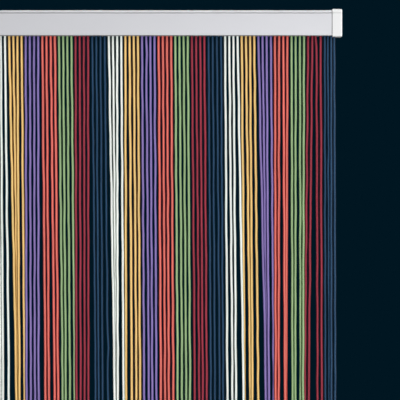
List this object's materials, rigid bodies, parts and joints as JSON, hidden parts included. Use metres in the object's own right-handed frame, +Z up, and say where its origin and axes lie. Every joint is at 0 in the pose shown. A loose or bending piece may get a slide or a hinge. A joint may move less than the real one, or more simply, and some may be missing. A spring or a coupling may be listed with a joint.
{
  "type": "string curtain with rail",
  "caption": "String curtain of coloured hanging cords on a slim aluminium rail with moulded end caps, for a doorway.",
  "frame": {"origin": "centre of the rail's flat back face, where the rail meets the wall", "axes": "+Z up; +Y into the wall, so the front of the curtain looks along -Y; +X to the right as seen from the front"},
  "size_m": [0.9, 0.0132, 2],
  "materials": {
    "cord_white": "smooth satin polyester cord",
    "cord_yellow": "smooth satin polyester cord",
    "cord_purple": "smooth satin polyester cord",
    "cord_orange": "smooth satin polyester cord",
    "cord_green": "smooth satin polyester cord",
    "cord_crimson": "smooth satin polyester cord",
    "cord_navy": "smooth satin polyester cord",
    "rail_aluminium": "satin anodised",
    "cap_plastic": "satin moulded"
  },
  "bodies": {
    "root": {"cords_01_white": "cord_white", "cords_02_yellow": "cord_yellow", "cords_03_purple": "cord_purple", "cords_04_orange": "cord_orange", "cords_05_green": "cord_green", "cords_06_crimson": "cord_crimson", "cords_07_navy": "cord_navy", "cords_08_white": "cord_white", "cords_09_yellow": "cord_yellow", "cords_10_purple": "cord_purple", "cords_11_orange": "cord_orange", "cords_12_green": "cord_green", "cords_13_crimson": "cord_crimson", "cords_14_navy": "cord_navy", "cords_15_white": "cord_white", "cords_16_yellow": "cord_yellow", "cords_17_purple": "cord_purple", "cords_18_orange": "cord_orange", "cords_19_green": "cord_green", "cords_20_crimson": "cord_crimson", "cords_21_navy": "cord_navy", "cords_22_white": "cord_white", "cords_23_yellow": "cord_yellow", "cords_24_purple": "cord_purple", "cords_25_orange": "cord_orange", "cords_26_green": "cord_green", "cords_27_crimson": "cord_crimson", "cords_28_navy": "cord_navy", "cords_29_white": "cord_white", "cords_30_yellow": "cord_yellow", "cords_31_purple": "cord_purple", "cords_32_orange": "cord_orange", "cords_33_green": "cord_green", "cords_34_crimson": "cord_crimson", "cords_35_navy": "cord_navy", "cords_36_white": "cord_white", "cords_37_yellow": "cord_yellow", "cords_38_purple": "cord_purple", "cords_39_orange": "cord_orange", "cords_40_green": "cord_green", "cords_41_crimson": "cord_crimson", "cords_42_navy": "cord_navy", "cords_43_white": "cord_white", "cords_44_yellow": "cord_yellow", "cords_45_purple": "cord_purple", "cords_46_orange": "cord_orange", "cords_47_green": "cord_green", "cords_48_crimson": "cord_crimson", "cords_49_navy": "cord_navy", "rail": "rail_aluminium", "end_cap_left": "cap_plastic", "end_cap_right": "cap_plastic"}
  },
  "joints": []
}
